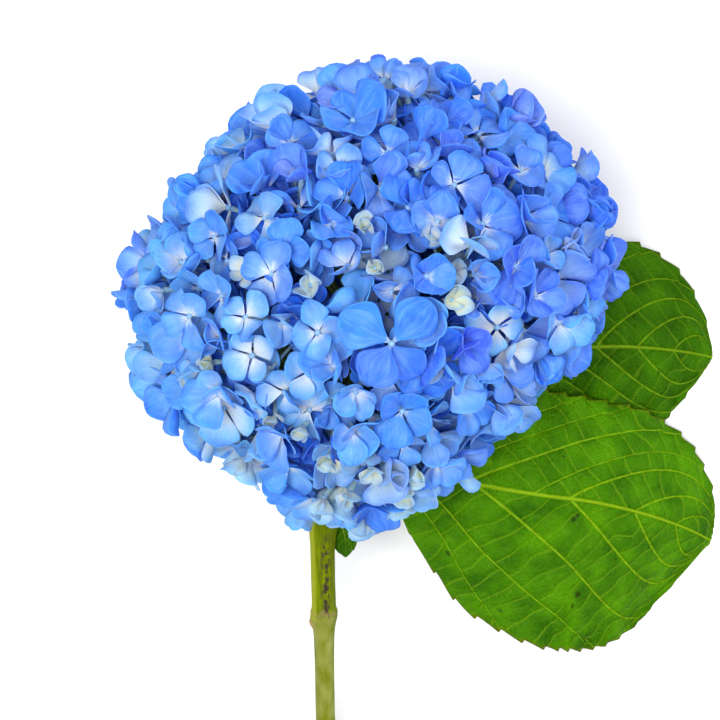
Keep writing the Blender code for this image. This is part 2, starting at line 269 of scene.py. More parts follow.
# petal tissue: soft satin cells, so no sharp glints, and light seeps 2 to 3 mm through it
def makeSepalMaterial():
    material, tree, shader = newMaterial("hydrangea_sepal", {
        "Roughness": 0.6, "Specular IOR Level": 0.16, "Sheen Weight": 0.04, "Sheen Roughness": 0.5,
        "Subsurface Weight": 0.45, "Subsurface Scale": 0.0026, "Subsurface Radius": (0.25, 0.45, 1.0)})
    uv = addNode(tree, "UVMap")
    parts = addNode(tree, "SeparateXYZ", links={0: uv})
    across, along = parts.outputs[0], parts.outputs[1]
    tint, pale, green, shade = (addNode(tree, "Attribute", {"attribute_name": name})
                                for name in ("tint", "pale", "green", "shade"))
    place = addNode(tree, "TexCoord")
    clouds = addNode(tree, "TexNoise", {"Scale": 130.0, "Detail": 2.0}, {"Vector": place})
    speckle = addNode(tree, "TexNoise", {"Scale": 1100.0, "Detail": 3.0}, {"Vector": place})

    # pigment streaks run with the sepal and differ from one to the next
    ownSlice = addNode(tree, "Math", {"operation": "MULTIPLY", 1: 60.0}, {0: tint})
    scaledU = addNode(tree, "Math", {"operation": "MULTIPLY", 1: sepalColours["streaks"]}, {0: across})
    scaledV = addNode(tree, "Math", {"operation": "MULTIPLY", 1: 2.2}, {0: along})
    streakPlace = addNode(tree, "CombineXYZ", links={0: scaledU, 1: scaledV, 2: ownSlice})
    streaks = addNode(tree, "TexNoise", {"Scale": 1.0, "Detail": 3.0}, {"Vector": streakPlace})

    # blue body: sky to cornflower to violet
    body = addNode(tree, "ValToRGB", links={0: tint})
    ramp = body.color_ramp
    ramp.elements[0].color = linear(sepalColours["sky"])
    ramp.elements[1].color = linear(sepalColours["violet"])
    ramp.elements.new(0.5).color = linear(sepalColours["cornflower"])
    # random darker clouds, and darkening by the shade attribute: a little at random on the outer florets,
    # and painted shade on the florets deep in the head, darkened towards deep blue for the shade among them
    cloudFactor = addNode(tree, "MapRange", {1: 0.42, 2: 0.72, 3: 0.0, 4: 0.55}, {0: clouds})
    shadeFactor = addNode(tree, "Math", {"operation": "MAXIMUM"}, {0: cloudFactor, 1: shade})
    deeper = addNode(tree, "Mix", {7: linear(sepalColours["deep"])}, {0: shadeFactor, 6: body})
    streakFactor = addNode(tree, "MapRange", {1: 0.42, 2: 0.74, 3: 0.0, 4: 0.22}, {0: streaks})
    streaked = addNode(tree, "Mix", {7: linear(sepalColours["pale"])}, {0: streakFactor, 6: deeper})

    # paler between the claw and the middle, reaching further on pale florets
    reach = addNode(tree, "Math", {"operation": "MULTIPLY_ADD", 1: 0.85, 2: 0.05}, {0: pale})
    waver = addNode(tree, "Math", {"operation": "MULTIPLY_ADD", 1: 0.4, 2: -0.20}, {0: streaks})
    alongWaver = addNode(tree, "Math", {"operation": "ADD"}, {0: along, 1: waver})
    away = addNode(tree, "Math", {"operation": "DIVIDE"}, {0: alongWaver, 1: reach})
    clawFactor = addNode(tree, "MapRange", {
        "interpolation_type": "SMOOTHSTEP", 1: 0.10, 2: 1.1, 3: 1.0, 4: 0.0}, {0: away})
    # the margin keeps its blue
    fromMiddle = addNode(tree, "Math", {"operation": "MULTIPLY_ADD", 1: 2.0, 2: -1.0}, {0: across})
    sideways = addNode(tree, "Math", {"operation": "ABSOLUTE"}, {0: fromMiddle})
    outermost = addNode(tree, "Math", {"operation": "MAXIMUM"}, {0: sideways, 1: along})
    heart = addNode(tree, "MapRange", {
        "interpolation_type": "SMOOTHSTEP", 1: 0.5, 2: 1.0, 3: 0.75, 4: 0.15}, {0: outermost})
    milkFactor = addNode(tree, "Math", {"operation": "MULTIPLY"}, {0: pale, 1: heart})
    milky = addNode(tree, "Mix", {7: linear(sepalColours["pale"])}, {0: milkFactor, 6: streaked})
    based = addNode(tree, "Mix", {7: linear(sepalColours["claw"])}, {0: clawFactor, 6: milky})

    # the fan of veins: lines of even share across the sepal, which meet at the claw
    wander = addNode(tree, "Math", {"operation": "MULTIPLY_ADD", 1: 0.12, 2: 0.0}, {0: streaks})
    fan = addNode(tree, "Math", {"operation": "ADD"}, {0: across, 1: wander})
    turns = addNode(tree, "Math", {"operation": "MULTIPLY", 1: math.pi * sepalColours["veins"]}, {0: fan})
    wave = addNode(tree, "Math", {"operation": "SINE"}, {0: turns})
    lines = addNode(tree, "Math", {"operation": "ABSOLUTE"}, {0: wave})
    veinFactor = addNode(tree, "MapRange", {1: 0.0, 2: 0.55, 3: 0.24, 4: 0.0}, {0: lines})
    veined = addNode(tree, "Mix", {"blend_type": "MULTIPLY", 7: sepalColours["veinShade"]},
                     {0: veinFactor, 6: based})

    # young florets are cream, and turn blue from the margin
    creamShare = addNode(tree, "Math", {"operation": "MULTIPLY_ADD", 1: 0.9, 2: 0.30}, {0: heart})
    creamFactor = addNode(tree, "Math", {"operation": "MULTIPLY"}, {0: green, 1: creamShare})
    young = addNode(tree, "Mix", {7: linear(sepalColours["cream"])}, {0: creamFactor, 6: veined})

    # relief: veins stand up, cells grain the surface
    relief = addNode(tree, "Math", {"operation": "MULTIPLY_ADD", 1: 0.5}, {0: lines, 2: streaks})
    fineRelief = addNode(tree, "Math", {"operation": "MULTIPLY_ADD", 1: 0.3}, {0: speckle, 2: relief})
    bump = addNode(tree, "Bump", {"Strength": 0.5, "Distance": 0.0004}, {"Height": fineRelief})
    linkShader(tree, shader, young, bump)
    return material


sepal = {
    "length": 12.8,                    # mm
    "width": 13.8,
    "thickness": 0.22,
    "claw": 0.10,                      # share of the width left at the claw
    # how many are modelled, cells each way, how wild their shapes are, and how far they droop
    "common": (30, 6, 1.0, 0.0),
    "large": (4, 14, 0.4, 0.12),
    "seed": 5,
}


# one sepal with its claw at the origin, along +Y and facing +Z, and its bare sheet for fitting it in
def makeSepal(name, rng, cells, wild, droop):
    deselectAll()
    bpy.ops.mesh.primitive_grid_add(x_subdivisions=cells, y_subdivisions=cells, size=2)
    obj = bpy.context.object
    obj.name = name
    cup = rng.uniform(-0.10, 0.55) * wild
    spoon = rng.uniform(-0.05, 0.35) * wild
    bend = rng.uniform(-0.45, 0.30) * wild - droop
    fold = rng.uniform(-0.10, 0.40) * wild
    wave = rng.uniform(0.3, 1.1) * wild
    lobes = rng.choice((2, 3, 3, 4))
    phase = rng.uniform(0, math.tau)
    skew = rng.uniform(-0.16, 0.16) * wild
    tip = rng.uniform(-0.12, 0.06) * wild
    widen = 1 + rng.uniform(-0.16, 0.14) * wild
    broadest = 0.60 + rng.uniform(0.0, 0.18) * wild
    uvs = []
    for vert in obj.data.vertices:
        a, b = vert.co.x, vert.co.y
        x = a * math.sqrt(1 - b * b / 2)
        y = b * math.sqrt(1 - a * a / 2)
        along = (y + 1) / 2
        across = x / math.sqrt(max(1 - y * y, 0.04))
        uvs.append(((clamp(across, -1, 1) + 1) / 2, along))
        taper = sepal["claw"] + (1 - sepal["claw"]) * ease(-0.05, broadest, along)
        halfWidth = sepal["width"] / 2 * widen
        edge = x * x + y * y
        margin = 1 + 0.035 * wild * edge ** 3 * math.sin(lobes * 2.3 * math.atan2(y, x) + phase)
        px = x * halfWidth * taper * margin + skew * along * along * halfWidth
        py = along * sepal["length"] * (1 + tip * (1 - abs(x)) ** 2 * along ** 4)
        pz = cup * halfWidth * x * x * (0.4 + along)
        pz += spoon * sepal["length"] * (along - 0.45) ** 2 * 1.6
        pz += bend * sepal["length"] * along * along * 0.8
        pz += fold * halfWidth * abs(x) * (1 - 0.4 * along) * 0.7
        pz += wave * edge ** 2 * math.sin(lobes * math.atan2(y, x) + phase) * along
        vert.co = Vector((px, py, pz)) * mm
    setUvs(obj, uvs)
    sheet = ([vert.co.copy() for vert in obj.data.vertices],
             [tuple(face.vertices) for face in obj.data.polygons])
    solidify = obj.modifiers.new("thickness", "SOLIDIFY")
    solidify.thickness = sepal["thickness"] * mm
    solidify.offset = 0
    applyModifiers(obj)
    obj.data.shade_smooth()
    obj.data.materials.append(sepalMaterial)
    return obj, sheet


sepalMaterial = makeSepalMaterial()
rng = random.Random(sepal["seed"])
sepalKinds, largeSepals = (
    [makeSepal(f"{kind}_sepal_{number}", rng, *sepal[kind][1:]) for number in range(sepal[kind][0])]
    for kind in ("common", "large"))


# the bud in the middle of each floret, and the pedicel under it

bud = {"radius": 1.15, "lift": 0.9, "height": 0.92, "pinch": 0.16, "colour": "#96BCCB", "crown": "#5E93CF"}
pedicel = {"radius": 0.6, "flare": 0.9, "colour": "#86A070", "tip": "#5F8AC8", "sides": 6, "cuts": 3}


# an unopened true flower: waxy, pale aqua, mottled a bluer blue about every 1 mm
def makeBudMaterial():
    material, tree, shader = newMaterial("flower_bud", {"Roughness": 0.4})
    place = addNode(tree, "TexCoord")
    mottle = addNode(tree, "TexNoise", {"Scale": 1400.0, "Detail": 2.0}, {"Vector": place})
    colour = addNode(tree, "Mix", {6: linear(bud["colour"]), 7: linear(bud["crown"])}, {0: mottle})
    bump = addNode(tree, "Bump", {"Strength": 0.3, "Distance": 0.0002}, {"Height": mottle})
    linkShader(tree, shader, colour, bump)
    return material


# young green stalk: smooth and matt, with streaks about 2 mm apart
def makeStalkMaterial(name, light, dark):
    material, tree, shader = newMaterial(name, {"Roughness": 0.55, "Specular IOR Level": 0.25})
    place = addNode(tree, "TexCoord")
    streaks = addNode(tree, "TexNoise", {"Scale": 500.0, "Detail": 3.0}, {"Vector": place})
    colour = addNode(tree, "Mix", {6: linear(light), 7: linear(dark)}, {0: streaks})
    bump = addNode(tree, "Bump", {"Strength": 0.25, "Distance": 0.0002}, {"Height": streaks})
    linkShader(tree, shader, colour, bump)
    return material


# a ball pinched into four valves
def makeBud():
    deselectAll()
    bpy.ops.mesh.primitive_uv_sphere_add(segments=12, ring_count=7, radius=bud["radius"] * mm)
    obj = bpy.context.object
    obj.name = "bud"
    for vert in obj.data.vertices:
        turn = math.atan2(vert.co.y, vert.co.x)
        pinch = 1 - bud["pinch"] * abs(math.sin(2 * turn)) ** 3
        vert.co.x *= pinch
        vert.co.y *= pinch
        vert.co.z *= bud["height"]
    obj.data.shade_smooth()
    return obj


# a stalk one unit long, flaring into the floret's base
def makePedicel():
    obj = makeRod("pedicel", pedicel["sides"], pedicel["cuts"])
    for vert in obj.data.vertices:
        width = pedicel["radius"] * mm * (1 + pedicel["flare"] * ease(0.75, 1.0, vert.co.z))
        vert.co.x *= width
        vert.co.y *= width
    obj.data.shade_smooth()
    return obj


budShape = makeBud()
budShape.data.materials.append(makeBudMaterial())
pedicelShape = makePedicel()
pedicelShape.data.materials.append(makeStalkMaterial("pedicel_green", pedicel["colour"], pedicel["tip"]))
print("floret parts ready")


# where the florets stand

def outlineAt(turn):
    radii = head["outline"]
    scaled = (turn % math.tau) / math.tau * len(radii)
    index = int(scaled)
    around = [radii[(index + k) % len(radii)] for k in (-1, 0, 1, 2)]
    return curveThrough(*around, scaled - index)


def onHead(direction, depth=0.0):
    # place on the head's outside, depth in mm under it, and the outward normal there
    radius = outlineAt(math.atan2(direction.y, direction.x)) - depth
    height = head["halfHeight"] - depth
    place = headMiddle + Vector((direction.x * radius, direction.y * radius, direction.z * height)) * mm
    normal = Vector((direction.x / radius, direction.y / radius, direction.z / height)).normalized()
    return place, normal


def directionFromPlan(x, y):
    # direction whose place on the head's upper half is at (x, y) mm in plan
    share = min(math.hypot(x, y) / outlineAt(math.atan2(y, x)), 0.985)
    turn = math.atan2(y, x)
    return Vector((share * math.cos(turn), share * math.sin(turn), math.sqrt(1 - share * share)))


# the largest floret, in front: each sepal's way in degrees, length, width in mm, and rise in degrees
frontFloret = {
    "place": (6.6, -18.7),
    "proud": 2.5,
    "faceUp": 0.8,
    "size": 1.5,
    "lifts": (0.0, 0.5, 1.0, 0.3),
    "twist": 6,
    "budLift": 1.9,
    "sepals": ((149, 20.0, 17.5, 8), (47, 19.5, 15.5, 10), (238, 15.5, 17.5, 12), (307, 14.5, 14.0, 6)),
    "tints": (0.36, 0.40, 0.72, 0.66),
}
# florets placed one by one: x, y, size, turn in degrees, tint 0 sky to 1 violet, paleness, how far open
handPlaced = (
    (18, -26, 1.20, 82, 0.62, 0.05, 0.85), (43, -14, 0.80, 35, 0.15, 0.75, 1.0),
    (-41, -24, 0.80, 10, 0.20, 0.70, 1.0), (-43, -11, 0.80, 55, 0.10, 0.55, 0.9),
    (-18, -16, 0.80, 30, 0.20, 0.45, 0.9), (-8, 30, 0.95, 40, 0.45, 0.15, 0.9),
    (-14, 21, 0.80, 80, 0.45, 0.20, 0.8), (29, 35, 1.00, 25, 0.65, 0.20, 1.0),
    (39, 55, 0.95, 60, 0.60, 0.15, 0.9), (26, 58, 0.80, 20, 0.70, 0.10, 0.9),
    (38, 21, 1.05, 75, 0.50, 0.30, 1.0), (64, 25, 0.95, 15, 0.60, 0.20, 0.9),
    (19, 3, 0.90, 50, 0.55, 0.10, 0.6), (36, 4, 0.80, 20, 0.45, 0.45, 0.6),
    (56, -3, 1.00, 65, 0.80, 0.15, 0.7), (31, -19, 0.95, 15, 0.90, 0.10, 0.7),
    (11, -43, 0.95, 55, 0.45, 0.15, 0.8), (-5, -36, 0.75, 25, 0.30, 0.40, 0.8),
    (-6, -50, 0.95, 60, 0.25, 0.35, 0.9), (11, -55, 0.85, 20, 0.35, 0.30, 0.9),
    (34, -42, 0.85, 45, 0.50, 0.30, 0.9), (46, -30, 0.95, 10, 0.60, 0.30, 0.9),
    (23, -60, 0.80, 35, 0.40, 0.50, 0.8), (-30, -37, 0.78, 30, 0.25, 0.75, 0.9),
    (-22, -30, 0.72, 70, 0.20, 0.70, 0.8), (-29, -64, 0.90, 50, 0.30, 0.30, 0.9),
    (1, -80, 1.12, 20, 0.50, 0.12, 1.0), (-52, -37, 0.95, 75, 0.25, 0.45, 0.9),
    (-75, -40, 1.15, 80, 0.45, 0.15, 0.9), (-62, -10, 0.90, 20, 0.30, 0.35, 0.9),
    (74, -7, 0.90, 40, 0.45, 0.40, 0.8), (-30, 12, 0.90, 15, 0.45, 0.15, 0.9),
    (-28, 50, 0.85, 35, 0.50, 0.20, 0.9), (6, 47, 0.90, 70, 0.60, 0.15, 0.9),
    (-55, 18, 0.85, 50, 0.30, 0.30, 0.9), (52, 40, 0.90, 30, 0.55, 0.25, 0.9),
    (47, 54, 0.95, 20, 0.50, 0.15, 0.9), (34, 62, 0.95, 60, 0.50, 0.10, 0.9),
    (61, 41, 0.95, 0, 0.50, 0.45, 0.9), (-19, -78, 0.92, 40, 0.25, 0.75, 0.8),
    (-10, -81, 0.80, 10, 0.30, 0.70, 0.7), (-40, -68, 0.70, 30, 0.10, 0.85, 0.9),
    (-29, -74, 0.95, 15, 0.40, 0.35, 0.9),
)
# young cream-green florets, still folded: x, y, size
youngPlaced = (
    (15, -62, 0.62), (-21, 0, 0.66), (-63, -33, 0.45), (28, -5, 0.58), (-2, 20, 0.50), (-44, 5, 0.48),
    (-27, 41, 0.45), (-14, -58, 0.55), (9, -76, 0.62), (2, 69, 0.60), (9, 72, 0.55), (22, -30, 0.45),
    (-16, -73, 0.70), (26, -70, 0.55), (-36, -30, 0.42), (0, -62, 0.50), (21, 17, 0.42), (-56, -46, 0.45),
    (1.5, 6, 0.42), (29, 5, 0.50), (11, -69, 0.66), (-7, -71, 0.55), (-44, -61, 0.55), (-56, -27, 0.45),
    (-24, -50, 0.45), (73, -12, 0.50), (58, 45, 0.55), (-34, -46, 0.42), (3, -47, 0.42),
)
young = {
    "depth": 3.5,                      # mm under the outside
    "rimDepth": 0.5,                   # the same where y is rimBelow or less
    "rimBelow": -55,
    "green": (0.35, 0.85),
    "openness": (0.3, 0.6),
    "tint": 0.1,
    "pale": 0.8,
}
crowd = {
    "outer": 380,                      # florets near the outside
    "sizes": (0.74, 1.16),
    "depths": (0.5, 8.0),              # mm under the outside
    "openness": (1.0, 0.95, 0.9, 0.8, 0.7, 0.55),
    "tries": 24,                       # places tried for each; the roomiest is taken
    "lean": 0.34,
    "stemClear": 11.0,                 # mm kept free round the stem's line
    "knuckleIn": 2.2,                  # mm from a cluster's inner end to where its pedicels meet
    "seed": 23,
}
deepCrowd = {
    "count": 340,
    "depth": 13.5,                     # mm under the outside
    "spread": (-3, 7),
    "sizes": (0.8, 1.1),
    "tint": 0.45,
    # painted shade: little paleness, so a darker and purer blue deep in the head
    "pale": (0.0, 0.15),
    "openness": (0.7, 1.0),
    "greens": (0.0, 0.0, 0.0, 0.1, 0.4),
    # painted shade: darkened towards deep blue, for the shade among the outer florets
    "shade": (0.2, 0.6),
}
stemLine = (at(-12, -48, 66.5), at(-17.5, -92, 49.5), at(-15.5, -206, 3.0))


def nearStem(place):
    nearest = 1.0
    for a, b in zip(stemLine, stemLine[1:]):
        share = max(0.0, min(1.0, (place - a).dot(b - a) / (b - a).length_squared))
        nearest = min(nearest, (place - a.lerp(b, share)).length)
    return nearest < crowd["stemClear"] * mm


grades = {
    # in the middle of the head, change for each mm towards +X and +Y, spread, and most
    "tint": (0.42, 0.0028, 0.0022, 0.17, 1.0),         # more violet towards the crown and the right
    "pale": (0.54, -0.0022, -0.0022, 0.32, 0.95),      # paler towards the stem and on the left
}


def gradeAt(grade, place, rng):
    base, perX, perY, spread, most = grades[grade]
    x, y = (place.x - headX) / mm, (place.y - headY) / mm
    return min(most, max(0.0, base + perX * x + perY * y + rng.gauss(0, spread)))


def greenAt(place, rng):
    # a cream heart in some of the florets near the stem
    y = (place.y - headY) / mm
    return max(0.0, min(0.6, rng.gauss(0.0, 0.12) + 0.7 * ease(-35, -80, y) * rng.random()))


def anyWay(rng):
    return Vector([rng.gauss(0, 1) for _ in range(3)])


def placeFlorets():
    # each floret as place, normal, size, turn, tint, paleness, openness, greenness, shade
    rng = random.Random(crowd["seed"])
    florets = []
    place, normal = onHead(directionFromPlan(*frontFloret["place"]), -frontFloret["proud"])
    normal = (normal + Vector((0, 0, frontFloret["faceUp"]))).normalized()
    florets.append((place, normal, frontFloret["size"]))
    for x, y, size, turn, tint, pale, openness in handPlaced:
        place, normal = onHead(directionFromPlan(x, y), rng.uniform(0.5, 3.5))
        lean = Vector((rng.gauss(0, 1), rng.gauss(0, 1), 1.0)) * 0.2
        normal = (normal + lean).normalized()
        florets.append((place, normal, size, math.radians(turn), tint, pale, openness, 0.0, 0.0))
    for x, y, size in youngPlaced:
        depth = young["depth"] if y > young["rimBelow"] else young["rimDepth"]
        place, normal = onHead(directionFromPlan(x, y), depth)
        green = rng.uniform(*young["green"])
        openness = rng.uniform(*young["openness"])
        turn = rng.uniform(0, math.tau)
        florets.append((place, normal, size, turn, young["tint"], young["pale"], openness, green, 0.0))
    wanted = len(florets) + crowd["outer"]
    while len(florets) < wanted:
        size = rng.uniform(*crowd["sizes"])
        best, bestRoom = None, -1.0
        for _ in range(crowd["tries"]):
            direction = anyWay(rng).normalized()
            depth = rng.uniform(*crowd["depths"])
            place, normal = onHead(direction, depth)
            if nearStem(place):
                continue
            room = min((place - other[0]).length / (other[2] + size) for other in florets)
            if room > bestRoom:
                best, bestRoom = (place, normal, depth), room
        place, normal, depth = best
        lean = anyWay(rng) * crowd["lean"]
        normal = (normal + lean).normalized()
        openness = rng.choice(crowd["openness"])
        turn = rng.uniform(0, math.tau)
        tint = gradeAt("tint", place, rng)
        pale = gradeAt("pale", place, rng) * (1.2 - depth / 10)      # painted shade: the ones further in are made less pale, a darker and purer blue, for the shade inside the head
        florets.append((place, normal, size, turn, tint, pale, openness, greenAt(place, rng),
                        max(0.0, rng.gauss(0.0, 0.2))))
    for _ in range(deepCrowd["count"]):
        direction = anyWay(rng).normalized()
        place, normal = onHead(direction, deepCrowd["depth"] + rng.uniform(*deepCrowd["spread"]))
        if nearStem(place):
            continue
        size = rng.uniform(*deepCrowd["sizes"])
        turn = rng.uniform(0, math.tau)
        pale = rng.uniform(*deepCrowd["pale"])
        openness = rng.uniform(*deepCrowd["openness"])
        green = rng.choice(deepCrowd["greens"])
        shade = rng.uniform(*deepCrowd["shade"])
        florets.append((place, normal, size, turn, deepCrowd["tint"], pale, openness, green, shade))
    return florets


# build the florets and gather them on the cluster that each one grows from

def clusterKnuckle(node):
    # where the cluster's pedicels meet: the end of its solid that is nearest to the middle of the head
    points = [vert.co for vert in node.data.vertices]
    nearest = min(points, key=lambda p: (p - headMiddle).length)
    return nearest + (nearest - headMiddle).normalized() * crowd["knuckleIn"] * mm


def addCopy(shape, matrix, values, gathered):
    obj = shape.copy()
    obj.data = shape.data.copy()
    bpy.context.scene.collection.objects.link(obj)
    obj.data.transform(matrix)
    for name, value in values.items():
        setPointValues(obj, name, [value] * len(obj.data.vertices))
    gathered.append(obj)


fitting = {
    # turn and rise in degrees, tried in this order
    "moves": ((0, 0), (0, 10), (0, -9), (0, 20), (8, 8), (-8, 8), (0, 32), (0, -18), (7, 40), (-7, 52)),
    "reach": 13.0,                     # mm, for a floret of size 1: neighbours nearer than this count
    "clawGap": 0.4,                    # mm from the floret's middle to each claw
}
habit = {
    "fiveSepals": 0.05,                # share of florets with five sepals; the others have four
    "turnSpread": 0.12,                # radians
    "openRise": 12,                    # degrees that a sepal rises on an open floret
    "shutRise": 82,                    # degrees more on a shut one
    "riseSpread": 9,
    "sizes": (0.82, 1.14),
    "widths": (0.92, 1.05),
    "lift": 0.5,                       # mm that every second sepal sits higher
    "twist": (9, 7),                   # degrees, and spread
    "tintSpread": 0.07,
    "paleSpread": 0.08,                # for the shade as well
}


def crossings(sheet, matrix, neighbours):
    # how many faces of a sepal, set by matrix, cut through its neighbours' sepals
    points, faces = sheet
    own = BVHTree.FromPolygons([matrix @ point for point in points], faces)
    return sum(len(own.overlap(other)) for other in neighbours), own


def setSepal(shape, base, spin, rise, scale, lift, twist, neighbours):
    # the sepal's matrix: where it would cut a neighbour it is pushed up or down, as in a crowded head
    best = None
    for turned, raised in fitting["moves"]:
        matrix = (base @ Matrix.Rotation(spin + math.radians(turned), 4, "Z")
                  @ Matrix.Translation((0, fitting["clawGap"] * mm, lift))
                  @ Matrix.Rotation(math.radians(rise + raised), 4, "X") @ Matrix.Rotation(twist, 4, "Y")
                  @ Matrix.Diagonal((*scale, 1)))
        count, tree = crossings(shape[1], matrix, neighbours)
        if best is None or count < best[0]:
            best = (count, matrix, tree)
        if count == 0:
            break
    return best[1], best[2]


def addFloret(floret, near, knuckle, rng, gathered):
    # near holds the fitted sepals around it; returns its own
    place, normal, size, turn, tint, pale, openness, green, shade = floret
    facing = normal.to_track_quat("Z", "Y").to_matrix().to_4x4()
    base = Matrix.Translation(place) @ facing @ Matrix.Rotation(turn, 4, "Z")
    sepals = 5 if rng.random() < habit["fiveSepals"] else 4
    fitted = []
    for number in range(sepals):
        shape = rng.choice(sepalKinds)
        spin = math.tau * number / sepals + rng.gauss(0, habit["turnSpread"])
        rise = (1 - openness) * habit["shutRise"] + habit["openRise"] + rng.gauss(0, habit["riseSpread"])
        grow = size * rng.uniform(*habit["sizes"])
        scale = (grow * rng.uniform(*habit["widths"]), grow, grow)
        matrix, tree = setSepal(shape, base, spin, rise, scale, (habit["lift"] if number % 2 else 0.0) * mm,
                                math.radians(rng.gauss(*habit["twist"])), near)
        fitted.append(tree)
        values = {
            "tint": min(1, max(0, tint + rng.gauss(0, habit["tintSpread"]))),
            "pale": min(1, max(0, pale + rng.gauss(0, habit["paleSpread"]))),
            "green": green,
            "shade": min(0.8, max(0, shade + rng.gauss(0, habit["paleSpread"]))),
        }
        addCopy(shape[0], matrix, values, gathered)
    finishFloret(base, place, size, knuckle, gathered)
    return fitted


def finishFloret(base, place, size, knuckle, gathered, budLift=bud["lift"]):
    budScale = 0.75 + 0.35 * min(size, 1.1)
    budPlace = base @ Matrix.Translation((0, 0, budLift * mm)) @ Matrix.Scale(budScale, 4)
    addCopy(budShape, budPlace, {}, gathered)
    stalk = place - knuckle
    along = stalk.to_track_quat("Z", "Y").to_matrix().to_4x4()
    matrix = Matrix.Translation(knuckle) @ along @ Matrix.Diagonal((1, 1, stalk.length, 1))
    addCopy(pedicelShape, matrix, {}, gathered)


def addFrontFloret(floret, knuckle, gathered):
    place, normal, size = floret[:3]
    facing = normal.to_track_quat("Z", "Y").to_matrix().to_4x4()
    # +Y of the track frame turned to the plan's +X, so that ways are read as in plan
    ahead = facing.inverted().to_3x3() @ Vector((1, 0, 0))
    base = Matrix.Translation(place) @ facing @ Matrix.Rotation(math.atan2(ahead.y, ahead.x), 4, "Z")
    fitted = []
    for number, (way, length, width, rise) in enumerate(frontFloret["sepals"]):
        shape = largeSepals[number]
        scale = (width / sepal["width"], length / sepal["length"], length / sepal["length"])
        lift = frontFloret["lifts"][number] * mm
        matrix, tree = setSepal(shape, base, math.radians(way - 90), rise, scale, lift,
                                math.radians(frontFloret["twist"]), [])
        fitted.append(tree)
        colours = {"tint": frontFloret["tints"][number], "pale": 0.05, "green": 0.0, "shade": 0.1}
        addCopy(shape[0], matrix, colours, gathered)
    finishFloret(base, place, size, knuckle, gathered, frontFloret["budLift"])
    return fitted


def restOnTable(obj):
    # presses what reaches the table flat on it
    soft, least = head["restHeight"], head["leastHeight"]
    for vert in obj.data.vertices:
        height = vert.co.z / mm
        if height < soft:
            vert.co.z = (least + (soft - least) * math.exp((height - soft) / (soft - least))) * mm


def buildFlorets():
    clusters = sorted(name for name in frame["nodes"] if name.startswith("floret_cluster"))
    knuckles = {name: clusterKnuckle(frame["nodes"][name]) for name in clusters}
    ways = {name: (sum(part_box(name), Vector()) / 2 - headMiddle).normalized() for name in clusters}
    gathered = {name: [] for name in clusters}
    rng = random.Random(crowd["seed"] + 1)
    placed = []
    for floret in placeFlorets():
        way = (floret[0] - headMiddle).normalized()
        name = max(clusters, key=lambda cluster: ways[cluster].dot(way))
        near = [tree for place, size, trees in placed
                if (place - floret[0]).length < fitting["reach"] * (size + floret[2]) * mm
                for tree in trees]
        if placed:
            fitted = addFloret(floret, near, knuckles[name], rng, gathered[name])
        else:
            fitted = addFrontFloret(floret, knuckles[name], gathered[name])
        placed.append((floret[0], floret[2], fitted))
    for name in clusters:
        selectOnly(*gathered[name])
        whole = gathered[name][0]
        bpy.ops.object.join()
        whole.name = name.replace("floret_cluster", "florets")
        restOnTable(whole)
        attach(whole, "root")
        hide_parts(name)


buildFlorets()
for shape in [kind[0] for kind in sepalKinds + largeSepals] + [budShape, pedicelShape]:
    bpy.data.objects.remove(shape)
print("florets ready")


# the rays: the head's branches, fused where they fork

ray = {"voxel": 0.55, "smooth": 6, "softness": 0.5, "colour": "#9CB24A", "dark": "#6F8E3A"}
rayMaterial = makeStalkMaterial("ray_green", ray["colour"], ray["dark"])


def buildRay(name):
    node = frame["nodes"][name]
    obj = node.copy()
    obj.data = node.data.copy()
    bpy.context.scene.collection.objects.link(obj)
    obj.name = name.replace("ray", "branch")
    selectOnly(obj)
    bpy.ops.object.mode_set(mode="EDIT")
    bpy.ops.mesh.select_all(action="SELECT")
    bpy.ops.mesh.remove_doubles(threshold=0.00001)
    bpy.ops.object.mode_set(mode="OBJECT")
    remesh = obj.modifiers.new("fuse", "REMESH")
    remesh.mode = "VOXEL"
    remesh.voxel_size = ray["voxel"] * mm
    smooth = obj.modifiers.new("soften", "SMOOTH")
    smooth.iterations = ray["smooth"]
    smooth.factor = ray["softness"]
    applyModifiers(obj)
    obj.data.shade_smooth()
    obj.data.materials.clear()
    obj.data.materials.append(rayMaterial)
    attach(obj, "root")
    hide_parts(name)


for name in sorted(frame["nodes"]):
    if name.startswith("ray_"):
        buildRay(name)
print("rays ready")

# tubes that follow a path: petioles and the stem

def makeTube(name, path, radii, sides):
    # a closed round tube with a ring at each point of the path, radii in mm; also gives each point's ring
    obj = makeRod(name, sides, len(path) - 2)
    frames = []
    side = Vector((1, 0, 0))
    for index in range(len(path)):
        ahead = (path[min(index + 1, len(path) - 1)] - path[max(index - 1, 0)]).normalized()
        side = (side - side.dot(ahead) * ahead).normalized()
        frames.append((side, ahead.cross(side)))
    rings = []
    for vert in obj.data.vertices:
        ring = round(vert.co.z * (len(path) - 1))
        turn = math.atan2(vert.co.y, vert.co.x)
        across, up = frames[ring]
        radius = radii[ring] * mm
        vert.co = path[ring] + radius * (math.cos(turn) * across + math.sin(turn) * up)
        rings.append(ring)
    obj.data.shade_smooth()
    return obj, rings


# leaves: quilted between sunken veins, satin, with small forward teeth

